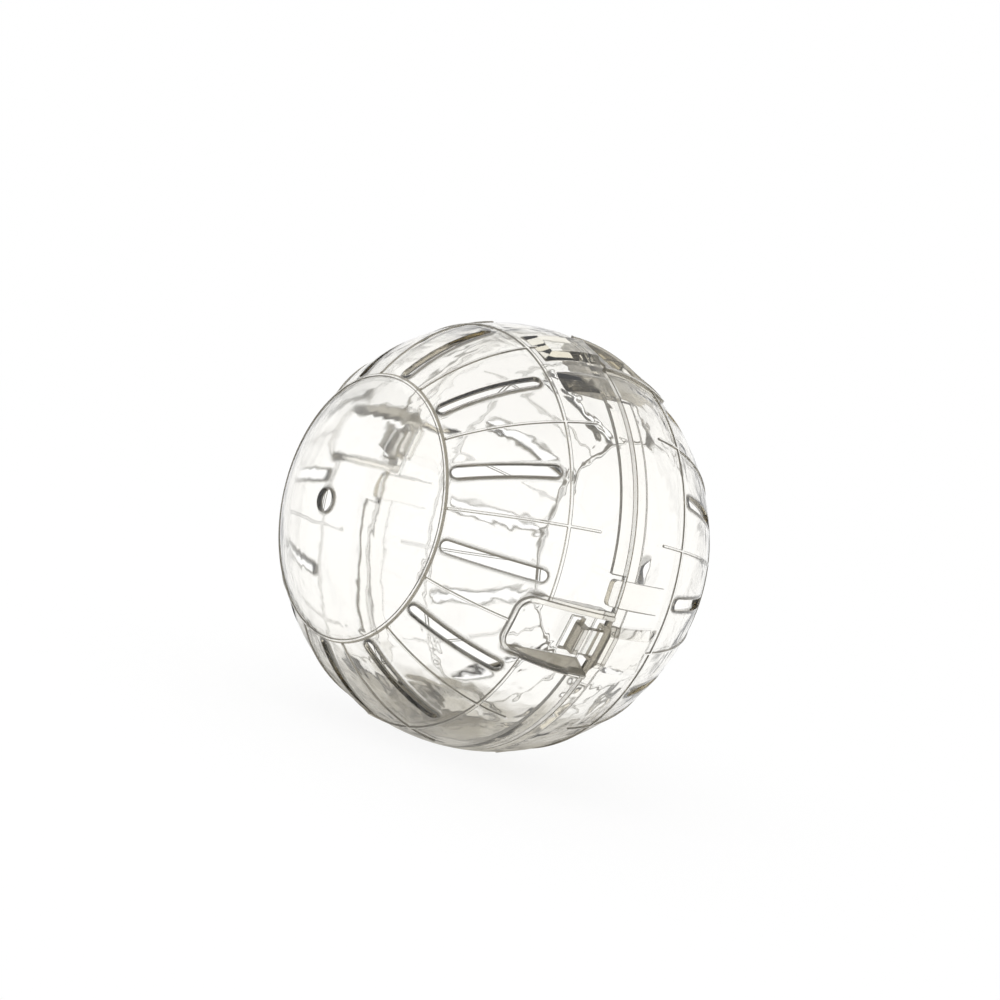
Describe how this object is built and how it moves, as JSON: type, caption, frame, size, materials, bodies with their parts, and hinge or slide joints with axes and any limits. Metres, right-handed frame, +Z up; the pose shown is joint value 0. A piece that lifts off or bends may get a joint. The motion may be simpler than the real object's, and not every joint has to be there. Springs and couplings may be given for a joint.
{
  "type": "hamster ball",
  "caption": "Clear plastic exercise ball for a small hamster: like half shells with vent slots, joined at the seam by snap latches in finger recesses.",
  "frame": {"origin": "centre of the closed ball", "axes": "+Y along the polar axis from the front half's pole hole to the back half's; +Z up, through a vent slot of each half; +X to the right seen from the front"},
  "size_m": [0.121, 0.1198, 0.121],
  "materials": {
    "clear_shell": "clear, glossy",
    "clear_latch": "clear, glossy"
  },
  "bodies": {
    "front_half": {"front_half_shell": "clear_shell"},
    "back_half": {"back_half_shell": "clear_shell"},
    "front_upper_latch": {"front_upper_latch_tongue": "clear_latch"},
    "front_lower_latch": {"front_lower_latch_tongue": "clear_latch"},
    "back_right_latch": {"back_right_latch_tongue": "clear_latch"},
    "back_left_latch": {"back_left_latch_tongue": "clear_latch"}
  },
  "joints": [
    {"name": "pull_apart", "type": "slide", "parent": "front_half", "child": "back_half", "axis": [0, 1, 0], "range_m": [0, 0.08]},
    {"name": "front_upper_latch_lift", "type": "hinge", "parent": "front_half", "child": "front_upper_latch", "pos_m": [0.01473, -0.0009, 0.05496], "axis": [0.9659, 0, -0.2588], "range_deg": [0, 14], "stiffness_Nm_per_rad": 0.2},
    {"name": "front_lower_latch_lift", "type": "hinge", "parent": "front_half", "child": "front_lower_latch", "pos_m": [-0.01473, -0.0009, -0.05496], "axis": [-0.9659, 0, 0.2588], "range_deg": [0, 14], "stiffness_Nm_per_rad": 0.2},
    {"name": "back_right_latch_lift", "type": "hinge", "parent": "back_half", "child": "back_right_latch", "pos_m": [0.05496, 0.0009, -0.01473], "axis": [0.2588, 0, 0.9659], "range_deg": [0, 14], "stiffness_Nm_per_rad": 0.2},
    {"name": "back_left_latch_lift", "type": "hinge", "parent": "back_half", "child": "back_left_latch", "pos_m": [-0.05496, 0.0009, 0.01473], "axis": [-0.2588, 0, -0.9659], "range_deg": [0, 14], "stiffness_Nm_per_rad": 0.2}
  ]
}
